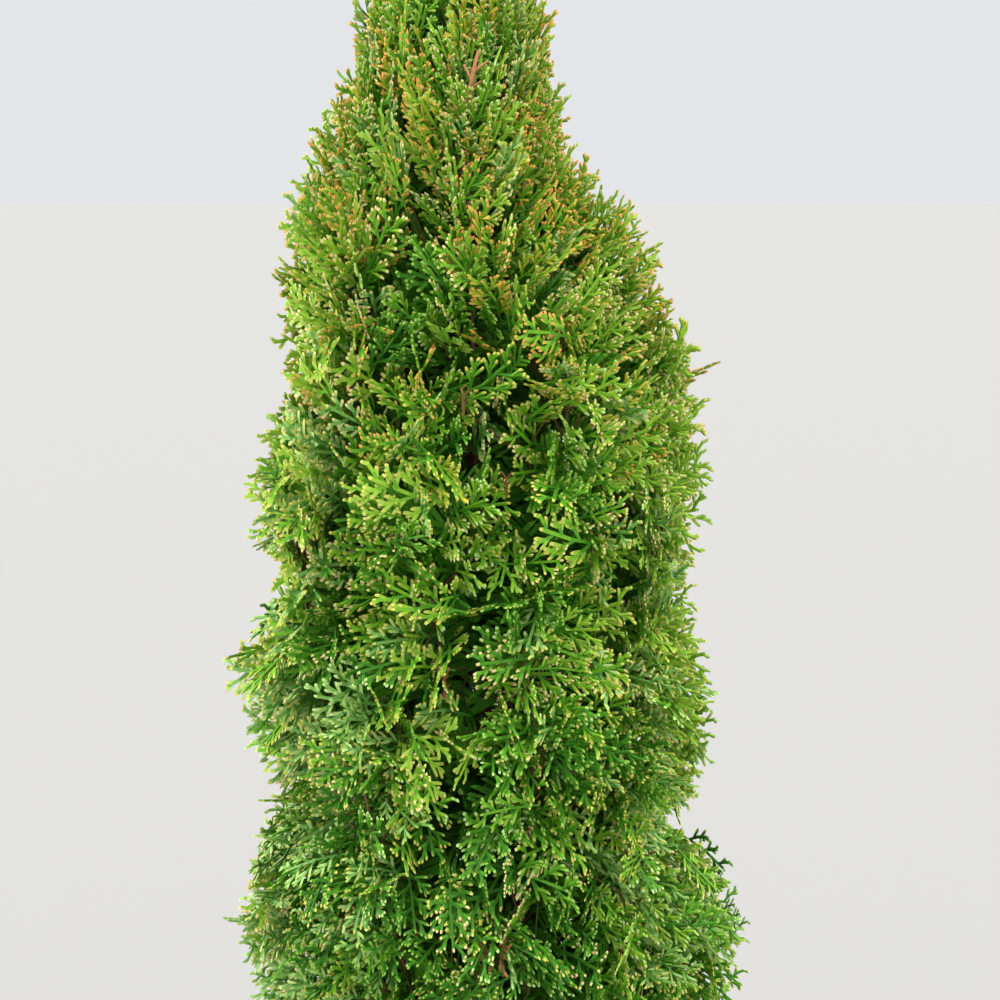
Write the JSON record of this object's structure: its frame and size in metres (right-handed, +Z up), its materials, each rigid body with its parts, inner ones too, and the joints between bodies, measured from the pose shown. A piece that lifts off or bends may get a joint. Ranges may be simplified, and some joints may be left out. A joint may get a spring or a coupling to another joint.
{
  "type": "potted thuja",
  "caption": "Dense columnar evergreen shrub with upright fan-shaped sprays of scale leaves, standing in a plain round nursery pot.",
  "frame": {"origin": "centre of the pot's flat underside", "axes": "+Z straight up through the crown; -Y towards the side that the picture shows; +X to the right in that view"},
  "size_m": [0.4636, 0.4422, 1.506],
  "materials": {
    "foliage": "slightly waxy scale leaves, green with yellow-orange tips",
    "bark": "fibrous red-brown bark",
    "pot": "matt black moulded plastic",
    "potting_mix": "damp bark-based potting mix"
  },
  "bodies": {
    "root": {"pot": "pot", "potting_mix": "potting_mix", "trunk": "bark", "bough_01": "bark", "foliage_01": "foliage", "bough_02": "bark", "foliage_02": "foliage", "bough_03": "bark", "foliage_03": "foliage", "bough_04": "bark", "foliage_04": "foliage", "bough_05": "bark", "foliage_05": "foliage", "bough_06": "bark", "foliage_06": "foliage", "bough_07": "bark", "foliage_07": "foliage", "bough_08": "bark", "foliage_08": "foliage", "bough_09": "bark", "foliage_09": "foliage", "bough_10": "bark", "foliage_10": "foliage", "bough_11": "bark", "foliage_11": "foliage", "bough_12": "bark", "foliage_12": "foliage", "bough_13": "bark", "foliage_13": "foliage", "bough_14": "bark", "foliage_14": "foliage", "bough_15": "bark", "foliage_15": "foliage", "bough_16": "bark", "foliage_16": "foliage", "bough_17": "bark", "foliage_17": "foliage", "bough_18": "bark", "foliage_18": "foliage", "bough_19": "bark", "foliage_19": "foliage", "bough_20": "bark", "foliage_20": "foliage", "bough_21": "bark", "foliage_21": "foliage", "bough_22": "bark", "foliage_22": "foliage", "bough_23": "bark", "foliage_23": "foliage", "bough_24": "bark", "foliage_24": "foliage", "bough_25": "bark", "foliage_25": "foliage", "bough_26": "bark", "foliage_26": "foliage", "bough_27": "bark", "foliage_27": "foliage", "foliage_top": "foliage"}
  },
  "joints": []
}
